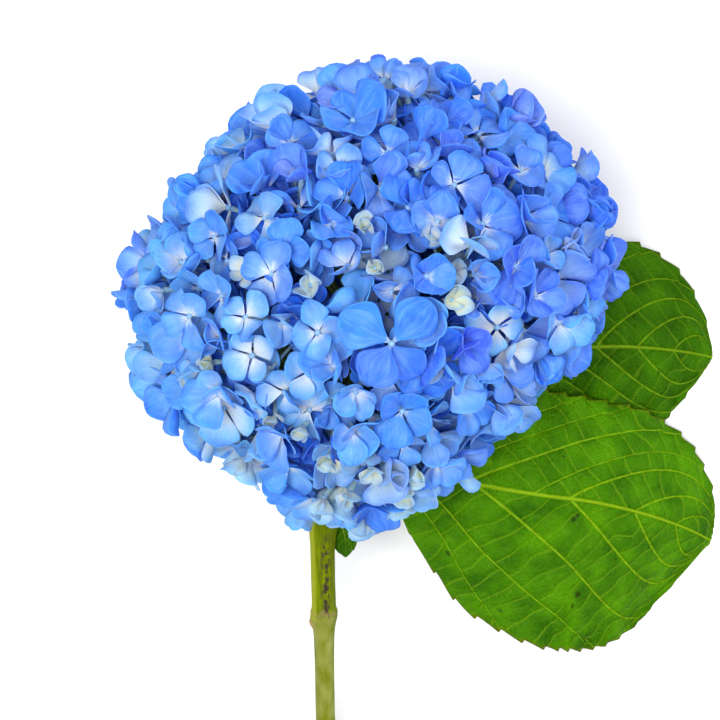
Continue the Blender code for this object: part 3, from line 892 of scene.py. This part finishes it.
leafFinish = {
    "thickness": 0.5,
    "quilt": 1.0,                      # height of the puffed tissue between veins
    "groove": 0.55,
    "rungs": 6.5,                      # pitch of the cross veins between two laterals
    "meshVeins": 2.6,                  # pitch of the fine net of veins
    "fleck": "#1E2A08",
}
leaves = {
    "leaf_large": {
        "piece": "front_leaf",
        "scale": 1.0, "toothPitch": 7.5, "toothSize": 1.7, "petioleRadius": 1.9,
        "petiole": ((-13.1, -84.5, 47.6), (-9.8, -84.0, 41.0), (-2.5, -76.0, 26.5), (5.0, -68.0, 19.0)),
        "midrib": ((6.0, -66.5, 18.5), (35.0, -71.0, 20.0), (62.0, -75.5, 20.5), (84.0, -78.5, 18.5),
                   (103.0, -83.0, 14.0), (119.0, -88.5, 7.5), (130.5, -94.0, 0.8)),
        "left": (1.5, 22, 35, 39, 38.5, 38, 37.5, 34, 27, 16, 0.6),
        "right": (1.5, 27, 45.5, 53, 57.5, 57.5, 56, 51.5, 42, 25, 0.6),
        "sinks": (10.0, 13.0),
        # lateral veins: side, where each leaves the midrib, how far along it runs, how it bends, half width
        "veins": ((-1, 0.01, 0.31, 1.7, 0.24), (-1, 0.08, 0.58, 1.9, 0.28), (-1, 0.195, 0.67, 1.1, 0.36),
                  (-1, 0.43, 0.66, 1.05, 0.34), (-1, 0.64, 0.50, 1.1, 0.28),
                  (-1, 0.80, 0.30, 1.1, 0.22),
                  (1, 0.03, 0.41, 1.5, 0.26), (1, 0.10, 0.47, 1.4, 0.18), (1, 0.18, 0.56, 1.34, 0.34),
                  (1, 0.33, 0.54, 1.2, 0.16), (1, 0.43, 0.56, 1.15, 0.30), (1, 0.64, 0.42, 1.1, 0.26),
                  (1, 0.80, 0.27, 1.1, 0.20)),
        # dark flecks: along, across, radius in mm
        "flecks": ((0.45, -0.13, 1.0), (0.46, -0.10, 0.8), (0.51, -0.62, 1.3), (0.50, -0.70, 0.9),
                   (0.62, -0.35, 0.6), (0.16, -0.70, 0.7), (0.30, -0.86, 0.6), (0.40, 0.40, 0.5)),
        "rows": 210, "columns": 144,
        "tissue": "#4A8400", "shade": "#265800", "veinColour": "#94B81A", "rim": "#5E5A08",
        "stalk": ("#A8B840", "#86A02C"),
    },
    "leaf_rear": {
        "piece": "rear_leaf",
        "scale": 1.0, "toothPitch": 7.5, "toothSize": 1.7, "petioleRadius": 1.9,
        "petiole": ((-17.4, -82.0, 45.7), (-17.5, -81.5, 36.0), (-12.0, -72.0, 18.0), (2.0, -57.0, 7.0),
                    (18.0, -44.0, 3.4), (34.0, -36.0, 2.9)),
        "midrib": ((37.0, -34.0, 3.0), (56.0, -26.0, 5.0), (74.0, -21.5, 8.0), (90.0, -20.0, 9.0),
                   (106.0, -20.5, 7.6), (120.0, -22.0, 4.4), (131.0, -24.0, 0.8)),
        "left": (1.5, 10, 20, 29, 36, 40, 39.5, 35, 27, 15, 0.6),
        "right": (1.5, 12, 22, 28.5, 32.5, 34, 34, 31, 25, 14, 0.6),
        "sinks": (5.0, 7.5),
        "veins": tuple((side, *vein) for side in (-1, 1) for vein in (
            (0.04, 0.40, 1.4, 0.24), (0.17, 0.50, 1.3, 0.28), (0.31, 0.54, 1.2, 0.30),
            (0.46, 0.50, 1.15, 0.30), (0.62, 0.40, 1.1, 0.26), (0.78, 0.28, 1.1, 0.20))),
        "flecks": ((0.60, 0.30, 0.6), (0.72, -0.30, 0.5)),
        "rows": 170, "columns": 120,
        # painted shade: darker copies of the front leaf's colours, for the head's shadow that falls on part
        # of the rear leaf
        "tissue": "#3A7000", "shade": "#204A00", "veinColour": "#84A81C", "rim": "#4C5208",
        "stalk": ("#A0B23C", "#7C962A"),
    },
    "leaf_small": {
        "piece": "small_leaf",
        "scale": 0.25, "toothPitch": 3.0, "toothSize": 0.5, "petioleRadius": 0.95,
        "petiole": ((-13.0, -83.4, 49.6), (-11.6, -83.4, 49.4), (-10.2, -84.2, 49.2)),
        "midrib": ((-10.8, -83.6, 49.3), (-9.6, -88.0, 49.0), (-8.9, -92.6, 47.4), (-8.9, -97.6, 44.6)),
        "left": (0.8, 3.6, 5.0, 5.2, 4.2, 2.4, 0.3),
        "right": (0.8, 3.4, 5.2, 5.8, 5.2, 3.1, 0.3),
        "sinks": (1.0, 1.0),
        "veins": tuple((side, *vein) for side in (-1, 1) for vein in (
            (0.10, 0.45, 1.2, 0.16), (0.30, 0.45, 1.2, 0.16), (0.52, 0.40, 1.2, 0.14))),
        "flecks": (),
        "rows": 44, "columns": 30,
        "tissue": "#356800", "shade": "#224C00", "veinColour": "#6C9428", "rim": "#7A3A1C",
        "stalk": ("#8AA030", "#6A8422"),
    },
}


def makeLeafMaterial(name, leaf):
    # leaf cuticle: satin over a quilted surface, yellow-green veins, a fine net of small veins between
    material, tree, shader = newMaterial(name + "_cuticle", {
        "Roughness": 0.42, "Specular IOR Level": 0.04,
        "Subsurface Weight": 0.06, "Subsurface Scale": 0.0012, "Subsurface Radius": (0.6, 1.0, 0.2)})
    uv = addNode(tree, "UVMap")
    net = addNode(tree, "TexVoronoi", {"feature": "DISTANCE_TO_EDGE", "Scale": 1 / leafFinish["meshVeins"]},
                  {"Vector": uv})
    fineNet = addNode(tree, "TexVoronoi", {
        "feature": "DISTANCE_TO_EDGE", "Scale": 3 / leafFinish["meshVeins"]}, {"Vector": uv})
    patches = addNode(tree, "TexNoise", {"Scale": 0.07, "Detail": 4.0}, {"Vector": uv})
    grain = addNode(tree, "TexNoise", {"Scale": 1.6, "Detail": 3.0}, {"Vector": uv})
    parts = addNode(tree, "SeparateXYZ", links={0: uv})
    vein, rung, ribHalf, rim, fleck = (addNode(tree, "Attribute", {"attribute_name": name}).outputs["Fac"]
                                       for name in ("vein", "rung", "ribHalf", "rim", "fleck"))

    patch = addNode(tree, "MapRange", {1: 0.35, 2: 0.68, 3: 0.0, 4: 1.0}, {0: patches})
    tissue = addNode(tree, "Mix", {6: linear(leaf["tissue"]), 7: linear(leaf["shade"])}, {0: patch})
    mottle = addNode(tree, "MapRange", {1: 0.35, 2: 0.7, 3: 0.0, 4: 0.35}, {0: grain})
    mottled = addNode(tree, "Mix", {7: linear(leaf["shade"])}, {0: mottle, 6: tissue})
    netFade = addNode(tree, "MapRange", {1: 0.3, 2: 0.7, 3: 0.02, 4: 0.10}, {0: grain})
    netFactor = addNode(tree, "MapRange", {"interpolation_type": "SMOOTHSTEP", 1: 0.0, 2: 0.10, 4: 0.0},
                        {0: net, 3: netFade})
    netted = addNode(tree, "Mix", {7: linear(leaf["veinColour"])}, {0: netFactor, 6: mottled})
    # cross veins: bent ladder rungs between the laterals
    bend = addNode(tree, "TexNoise", {"Scale": 0.055, "Detail": 1.0}, {"Vector": uv})
    bent = addNode(tree, "Math", {"operation": "MULTIPLY_ADD", 1: 12.0}, {0: bend, 2: rung})
    rungTurns = addNode(tree, "Math", {"operation": "MULTIPLY", 1: math.pi / leafFinish["rungs"]},
                        {0: bent})
    rungWave = addNode(tree, "Math", {"operation": "SINE"}, {0: rungTurns})
    rungNear = addNode(tree, "Math", {"operation": "ABSOLUTE"}, {0: rungWave})
    rungFade = addNode(tree, "MapRange", {1: 0.3, 2: 0.7, 3: 0.05, 4: 0.28}, {0: patches})
    rungFactor = addNode(tree, "MapRange", {"interpolation_type": "SMOOTHSTEP", 1: 0.0, 2: 0.26, 4: 0.0},
                         {0: rungNear, 3: rungFade})
    fine = addNode(tree, "Mix", {7: linear(leaf["veinColour"])}, {0: rungFactor, 6: netted})
    # laterals: the attribute changes sign across each vein, so a thin line stays whole between mesh points
    lateral = addNode(tree, "Math", {"operation": "ABSOLUTE"}, {0: vein})
    fromMidrib = addNode(tree, "Math", {"operation": "DIVIDE"}, {0: parts.outputs[1], 1: ribHalf})
    midribNear = addNode(tree, "Math", {"operation": "ABSOLUTE"}, {0: fromMidrib})
    lateralFactor = addNode(tree, "MapRange", {
        "interpolation_type": "SMOOTHSTEP", 1: 0.0, 2: 2.3, 3: 0.6, 4: 0.0}, {0: lateral})
    midribFactor = addNode(tree, "MapRange", {
        "interpolation_type": "SMOOTHSTEP", 1: 0.3, 2: 1.9, 3: 0.85, 4: 0.0}, {0: midribNear})
    veinFactor = addNode(tree, "Math", {"operation": "MAXIMUM"}, {0: lateralFactor, 1: midribFactor})
    veined = addNode(tree, "Mix", {7: linear(leaf["veinColour"])}, {0: veinFactor, 6: fine})
    edged = addNode(tree, "Mix", {7: linear(leaf["rim"])}, {0: rim, 6: veined})
    flecked = addNode(tree, "Mix", {7: linear(leafFinish["fleck"])}, {0: fleck, 6: edged})

    netHeight = addNode(tree, "MapRange", {1: 0.0, 2: 0.16, 3: 0.0, 4: 1.0}, {0: net})
    fineHeight = addNode(tree, "Math", {"operation": "MULTIPLY_ADD", 1: 1.2}, {0: fineNet, 2: netHeight})
    rungHeight = addNode(tree, "MapRange", {1: 0.0, 2: 0.8, 3: 0.0, 4: 2.4}, {0: rungNear})
    ladder = addNode(tree, "Math", {"operation": "ADD"}, {0: rungHeight, 1: fineHeight})
    height = addNode(tree, "Math", {"operation": "MULTIPLY_ADD", 1: 0.35}, {0: grain, 2: ladder})
    bump = addNode(tree, "Bump", {"Strength": 0.6, "Distance": 0.0005}, {"Height": height})
    linkShader(tree, shader, flecked, bump)
    return material


def veinsAt(leaf, along, across, length, widthHere, scale):
    # the nearest lateral in its own half widths, signed so as to be smooth; the nearest vein so, and in mm
    share = abs(across)
    reach = share * widthHere
    ribHalf = (0.66 - 0.36 * along) * scale
    near, far, flip = reach / ribHalf, reach, 1
    signed = signedShare = 99.0
    for side, start, run, bend, half in leaf["veins"]:
        if side * across <= 0:
            continue
        flip = -flip
        ideal = start + run * share ** bend
        slope = run * bend * max(share, 0.03) ** (bend - 1) * length / max(widthHere, 1.0)
        gap = (along - ideal) * length / math.sqrt(1 + slope * slope)
        gapShare = gap / (half * (1.05 - 0.7 * share))
        if abs(gap) < abs(signed):
            signed, signedShare = gap, flip * gapShare
        near = min(near, abs(gapShare))
        far = min(far, abs(gap))
    return signedShare, near, far, ribHalf


def rungAt(leaf, along, across, length, widthHere):
    # how far out along the laterals in mm, with a fresh start between each two of them
    share = abs(across)
    passed = sum(side * across > 0 and start + run * share ** bend < along
                 for side, start, run, bend, _ in leaf["veins"])
    return 0.72 * along * length + 0.69 * share * widthHere + 2.9 * passed + (1.7 if across < 0 else 0.0)


def buildLeaf(nodeName, leaf):
    deselectAll()
    bpy.ops.mesh.primitive_grid_add(x_subdivisions=leaf["rows"], y_subdivisions=leaf["columns"], size=2)
    obj = bpy.context.object
    obj.name = leaf["piece"]
    samples = [readPath(leaf["midrib"], k / 60) for k in range(61)]
    length = sum((b - a).length for a, b in zip(samples, samples[1:]))
    teeth = round(length / leaf["toothPitch"])
    scale = leaf["scale"]
    widest = (max(leaf["left"]), max(leaf["right"]))
    uvs, laterals, ribs, rungs, rims, flecks = [], [], [], [], [], []
    for vert in obj.data.vertices:
        along, across = (vert.co.x + 1) / 2, vert.co.y
        right = across < 0
        widthHere = max(0.3, readSmooth(leaf["right" if right else "left"], along))
        share = abs(across)
        # teeth point forward: each grows slowly and ends suddenly
        saw = (along * teeth + (0.5 if right else 0.0)) % 1.0
        tooth = leaf["toothSize"] * (saw ** 1.4 - 0.35) * ease(0.80, 1.0, share)
        tooth = tooth * ease(0.03, 0.15, along) * ease(1.0, 0.9, along)
        fullness = widthHere / widest[right]
        sink = leaf["sinks"][right] * share ** 1.6 * fullness
        lateral, near, far, ribHalf = veinsAt(leaf, along, across, length, widthHere, scale)
        quilt = leafFinish["quilt"] * scale * (1 - math.exp(-far / (3.2 * scale))) * (1 - 0.6 * share ** 3)
        groove = leafFinish["groove"] * scale * math.exp(-(near * 0.55) ** 2)
        ruffle = 1.5 * scale * share ** 3 * math.sin(along * teeth * 1.9 + (2.0 if right else 0.4))
        flow = noise.noise(Vector((along * 5, across * 2.4, 3.0))) * 1.5 * scale * ease(0.0, 0.25, share)
        point = readPath(leaf["midrib"], along)
        ahead = readPath(leaf["midrib"], min(along + 0.01, 1))
        ahead = ahead - readPath(leaf["midrib"], max(along - 0.01, 0))
        left = Vector((-ahead.y, ahead.x, 0)).normalized()
        point = point + left * (math.copysign(share * widthHere + tooth * min(1, fullness * 3), across))
        point.z = point.z - sink + quilt - groove + ruffle * fullness + flow * min(1, fullness * 2)
        point.z = max(point.z, 0.4)
        vert.co = at(*point)
        uvs.append((along * length, across * widthHere))
        laterals.append(lateral)
        ribs.append(ribHalf)
        rungs.append(rungAt(leaf, along, across, length, widthHere) / scale)
        toothTip = ease(0.72, 0.98, saw) * ease(0.965, 0.99, share)
        rims.append(max(0.55 * ease(0.975, 1.0, share), toothTip) if fullness > 0.1 else 0.0)
        spot = 0.0
        for spotAlong, spotAcross, radius in leaf["flecks"]:
            gap = math.hypot((along - spotAlong) * length, (across - spotAcross) * widthHere)
            spot = max(spot, ease(radius * 1.5, radius * 0.5, gap))
        flecks.append(spot * 0.85)
    setUvs(obj, uvs)
    values = {"vein": laterals, "ribHalf": ribs, "rung": rungs, "rim": rims, "fleck": flecks}
    for name, perPoint in values.items():
        setPointValues(obj, name, perPoint)
    solidify = obj.modifiers.new("thickness", "SOLIDIFY")
    solidify.thickness = leafFinish["thickness"] * mm
    solidify.offset = -1
    applyModifiers(obj)
    obj.data.shade_smooth()
    obj.data.materials.append(makeLeafMaterial(leaf["piece"], leaf))

    # the petiole runs on under the blade as the midrib's keel
    radius = leaf["petioleRadius"]
    path, radii = [], []
    steps = 18
    for k in range(steps):
        path.append(at(*readPath(leaf["petiole"], k / steps)))
        radii.append(radius * (1 + 0.25 * ease(0.25, 0.0, k / steps)))
    for k in range(3 * steps + 1):
        share = k / (3 * steps)
        thin = radius * (1 - share) ** 0.9 * 0.82 + 0.22 * scale
        point = readPath(leaf["midrib"], min(share, 0.97))
        path.append(at(point.x, point.y, max(point.z - thin * 0.75 - 1.0 * scale, thin + 0.1)))
        radii.append(thin)
    distinct = [k for k in range(len(path)) if k == 0 or (path[k] - path[k - 1]).length > 0.0001]
    stalk = makeTube("petiole", [path[k] for k in distinct], [radii[k] for k in distinct], 12)[0]
    stalk.data.materials.append(makeStalkMaterial(leaf["piece"] + "_stalk", *leaf["stalk"]))
    selectOnly(obj, stalk)
    bpy.ops.object.join()
    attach(obj, "root")
    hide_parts(nodeName)


for name, leaf in leaves.items():
    buildLeaf(name, leaf)
print("leaves ready")


# the stem: ribbed, olive above the node and paler below it, with brown lenticels

stem = {
    # x, y, z, radius
    "stations": ((-15.5, -206.0, 4.1, 3.7), (-16.5, -170.0, 17.5, 3.6), (-17.0, -130.0, 34.5, 3.7),
                 (-17.0, -118.8, 38.7, 5.0), (-17.1, -114.5, 40.6, 4.4), (-17.4, -94.0, 48.7, 4.5),
                 (-17.0, -84.0, 52.5, 5.2), (-15.5, -72.0, 57.5, 4.5), (-13.5, -56.0, 63.5, 4.6),
                 (-12.0, -48.0, 66.5, 5.8), (-11.3, -43.5, 68.2, 3.6)),
    "sides": 44,
    "rings": 300,
    "cutTurn": 32.0,
    "top": "#728200", "topShade": "#546200", "low": "#6A7218", "streak": "#90944E", "keelAndLitSide": "#98A01A",
    "blotch": "#35242A", "scar": "#A8866A", "wood": "#C9C890", "pith": "#F0EEDC",
}


def makeStemMaterial():
    # green bark of a young shoot: satin, fibrous lengthwise, with corky lenticels
    material, tree, shader = newMaterial("green_bark", {"Roughness": 0.55, "Specular IOR Level": 0.04})
    uv = addNode(tree, "UVMap")
    stretch = addNode(tree, "Mapping", {"Scale": (26.0, 0.10, 1.0)}, {"Vector": uv})
    fibres = addNode(tree, "TexNoise", {"Scale": 1.0, "Detail": 4.0}, {"Vector": stretch})
    patchMap = addNode(tree, "Mapping", {
        "Rotation": (0, 0, 0.25), "Scale": (4.5, 0.11, 1.0)}, {"Vector": uv})
    patches = addNode(tree, "TexNoise", {"Scale": 1.0, "Detail": 3.0}, {"Vector": patchMap})
    corkMap = addNode(tree, "Mapping", {"Scale": (12.0, 0.30, 1.0)}, {"Vector": uv})
    cork = addNode(tree, "TexNoise", {"Scale": 1.0, "Detail": 4.0, "Roughness": 0.6}, {"Vector": corkMap})
    low, aged, keelAndLitSide, scar = (addNode(tree, "Attribute", {"attribute_name": name}).outputs["Fac"]
                              for name in ("low", "aged", "keelAndLitSide", "scar"))

    fibre = addNode(tree, "MapRange", {1: 0.3, 2: 0.7, 3: 0.0, 4: 1.0}, {0: fibres})
    upper = addNode(tree, "Mix", {6: linear(stem["top"]), 7: linear(stem["topShade"])}, {0: fibre})
    streaks = addNode(tree, "MapRange", {1: 0.36, 2: 0.72, 3: 0.0, 4: 0.9}, {0: patches})
    lower = addNode(tree, "Mix", {6: linear(stem["low"]), 7: linear(stem["streak"])}, {0: streaks})
    length = addNode(tree, "Mix", {}, {0: low, 6: upper, 7: lower})
    # a paler keel, and painted light: the left flank above the node, which faces the key lamp, is painted
    # paler
    withKeelAndLitSide = addNode(tree, "Mix", {7: linear(stem["keelAndLitSide"])}, {0: keelAndLitSide, 6: length})
    corky = addNode(tree, "MapRange", {
        "interpolation_type": "SMOOTHSTEP", 1: 0.45, 2: 0.56, 3: 0.0, 4: 1.0}, {0: cork})
    corkFactor = addNode(tree, "Math", {"operation": "MULTIPLY"}, {0: corky, 1: aged})
    blotched = addNode(tree, "Mix", {7: linear(stem["blotch"])}, {0: corkFactor, 6: withKeelAndLitSide})
    scarred = addNode(tree, "Mix", {7: linear(stem["scar"])}, {0: scar, 6: blotched})
    height = addNode(tree, "Math", {"operation": "MULTIPLY_ADD", 1: 0.6}, {0: corkFactor, 2: fibres})
    bump = addNode(tree, "Bump", {"Strength": 0.5, "Distance": 0.0005}, {"Height": height})
    linkShader(tree, shader, scarred, bump)
    return material


def finishCut(obj, end):
    # the cut end: a ring of wood round white pith
    for part, roughness in (("wood", 0.6), ("pith", 0.8)):
        values = {"Roughness": roughness, "Specular IOR Level": 0.2}
        material, tree, shader = newMaterial("cut_" + part, values)
        place = addNode(tree, "TexCoord")
        grain = addNode(tree, "TexNoise", {"Scale": 900.0, "Detail": 3.0}, {"Vector": place})
        stain = addNode(tree, "Math", {"operation": "MULTIPLY", 1: 0.35}, {0: grain})
        colour = addNode(tree, "Mix", {6: linear(stem[part]), 7: linear(stem["low"])}, {0: stain})
        tree.links.new(colour.outputs[2], shader.inputs["Base Color"])
        obj.data.materials.append(material)
    selectOnly(obj)
    bpy.ops.object.mode_set(mode="EDIT")
    bpy.ops.mesh.select_mode(type="FACE")
    bpy.ops.mesh.select_all(action="DESELECT")
    bpy.ops.object.mode_set(mode="OBJECT")
    for face in obj.data.polygons:
        face.select = len(face.vertices) > 4 and (face.center - end).length < 5 * mm
    bpy.ops.object.mode_set(mode="EDIT")
    bpy.ops.mesh.inset(thickness=0.5 * mm)
    obj.active_material_index = 1
    bpy.ops.object.material_slot_assign()
    bpy.ops.mesh.inset(thickness=1.3 * mm)
    obj.active_material_index = 2
    bpy.ops.object.material_slot_assign()
    bpy.ops.object.mode_set(mode="OBJECT")


def buildStem():
    rings = stem["rings"]
    tracks = list(zip(*stem["stations"]))
    path, radii = [], []
    for k in range(rings):
        x, y, z, radius = (readSmooth(track, k / (rings - 1)) for track in tracks)
        path.append(at(x, y, z))
        radii.append(radius)
    obj, places = makeTube("flower_stem", path, radii, stem["sides"])
    lean = math.tan(math.radians(stem["cutTurn"]))
    ahead = (path[1] - path[0]).normalized()
    uvs, low, aged, keelAndLitSide, scar = [], [], [], [], []
    for vert, ring in zip(obj.data.vertices, places):
        y = (path[ring].y - headY) / mm
        out = vert.co - path[ring]
        turn = math.atan2(out.z, out.x)
        # broad angles, a keel left of the top, lengthwise grooves, and a dormant bud at the node
        keel = math.exp(-((turn - 2.15) / 0.16) ** 2)
        budHere = math.exp(-((turn - 2.85) / 0.36) ** 2 - ((y + 122.0) / 1.9) ** 2)
        swell = (1 + 0.035 * math.cos(3 * turn + 0.8) + 0.018 * math.cos(8 * turn)
                 + 0.08 * keel + 0.30 * budHere)
        swell += 0.02 * noise.noise(Vector((math.cos(turn) * 2, math.sin(turn) * 2, y * 0.12)))
        vert.co = path[ring] + out * swell
        slant = ease(14.0, 0.0, ring)
        vert.co += ahead * (out.z * lean * slant)
        vert.co.z = max(vert.co.z, 0.05 * mm)
        uvs.append(((turn / math.tau + 0.25) % 1.0, y))
        edge = -117.2 + 2.2 * noise.noise(Vector((turn * 1.6, 0.0, 7.0)))
        low.append(ease(edge, edge - 1.6, y) * (1 - 0.75 * ease(-158, -166, y)))
        column = math.exp(-((turn - 1.28) / 0.42) ** 2)
        aged.append(column * ease(-120, -116, y) * ease(-82, -96, y))
        # paler keel and painted light on the left flank above the node, the side that faces the key lamp
        keelAndLitSide.append(0.75 * ease(2.05, 2.3, turn) * ease(-122, -118, y))
        scar.append(max(0.75 * budHere, 0.35 * math.exp(-((y - edge) / 0.7) ** 2)))
    setUvs(obj, uvs)
    for name, values in (("low", low), ("aged", aged), ("keelAndLitSide", keelAndLitSide), ("scar", scar)):
        setPointValues(obj, name, values)
    obj.data.materials.append(makeStemMaterial())
    finishCut(obj, path[0])
    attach(obj, "root")
    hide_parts("stem")


buildStem()
print("stem ready")
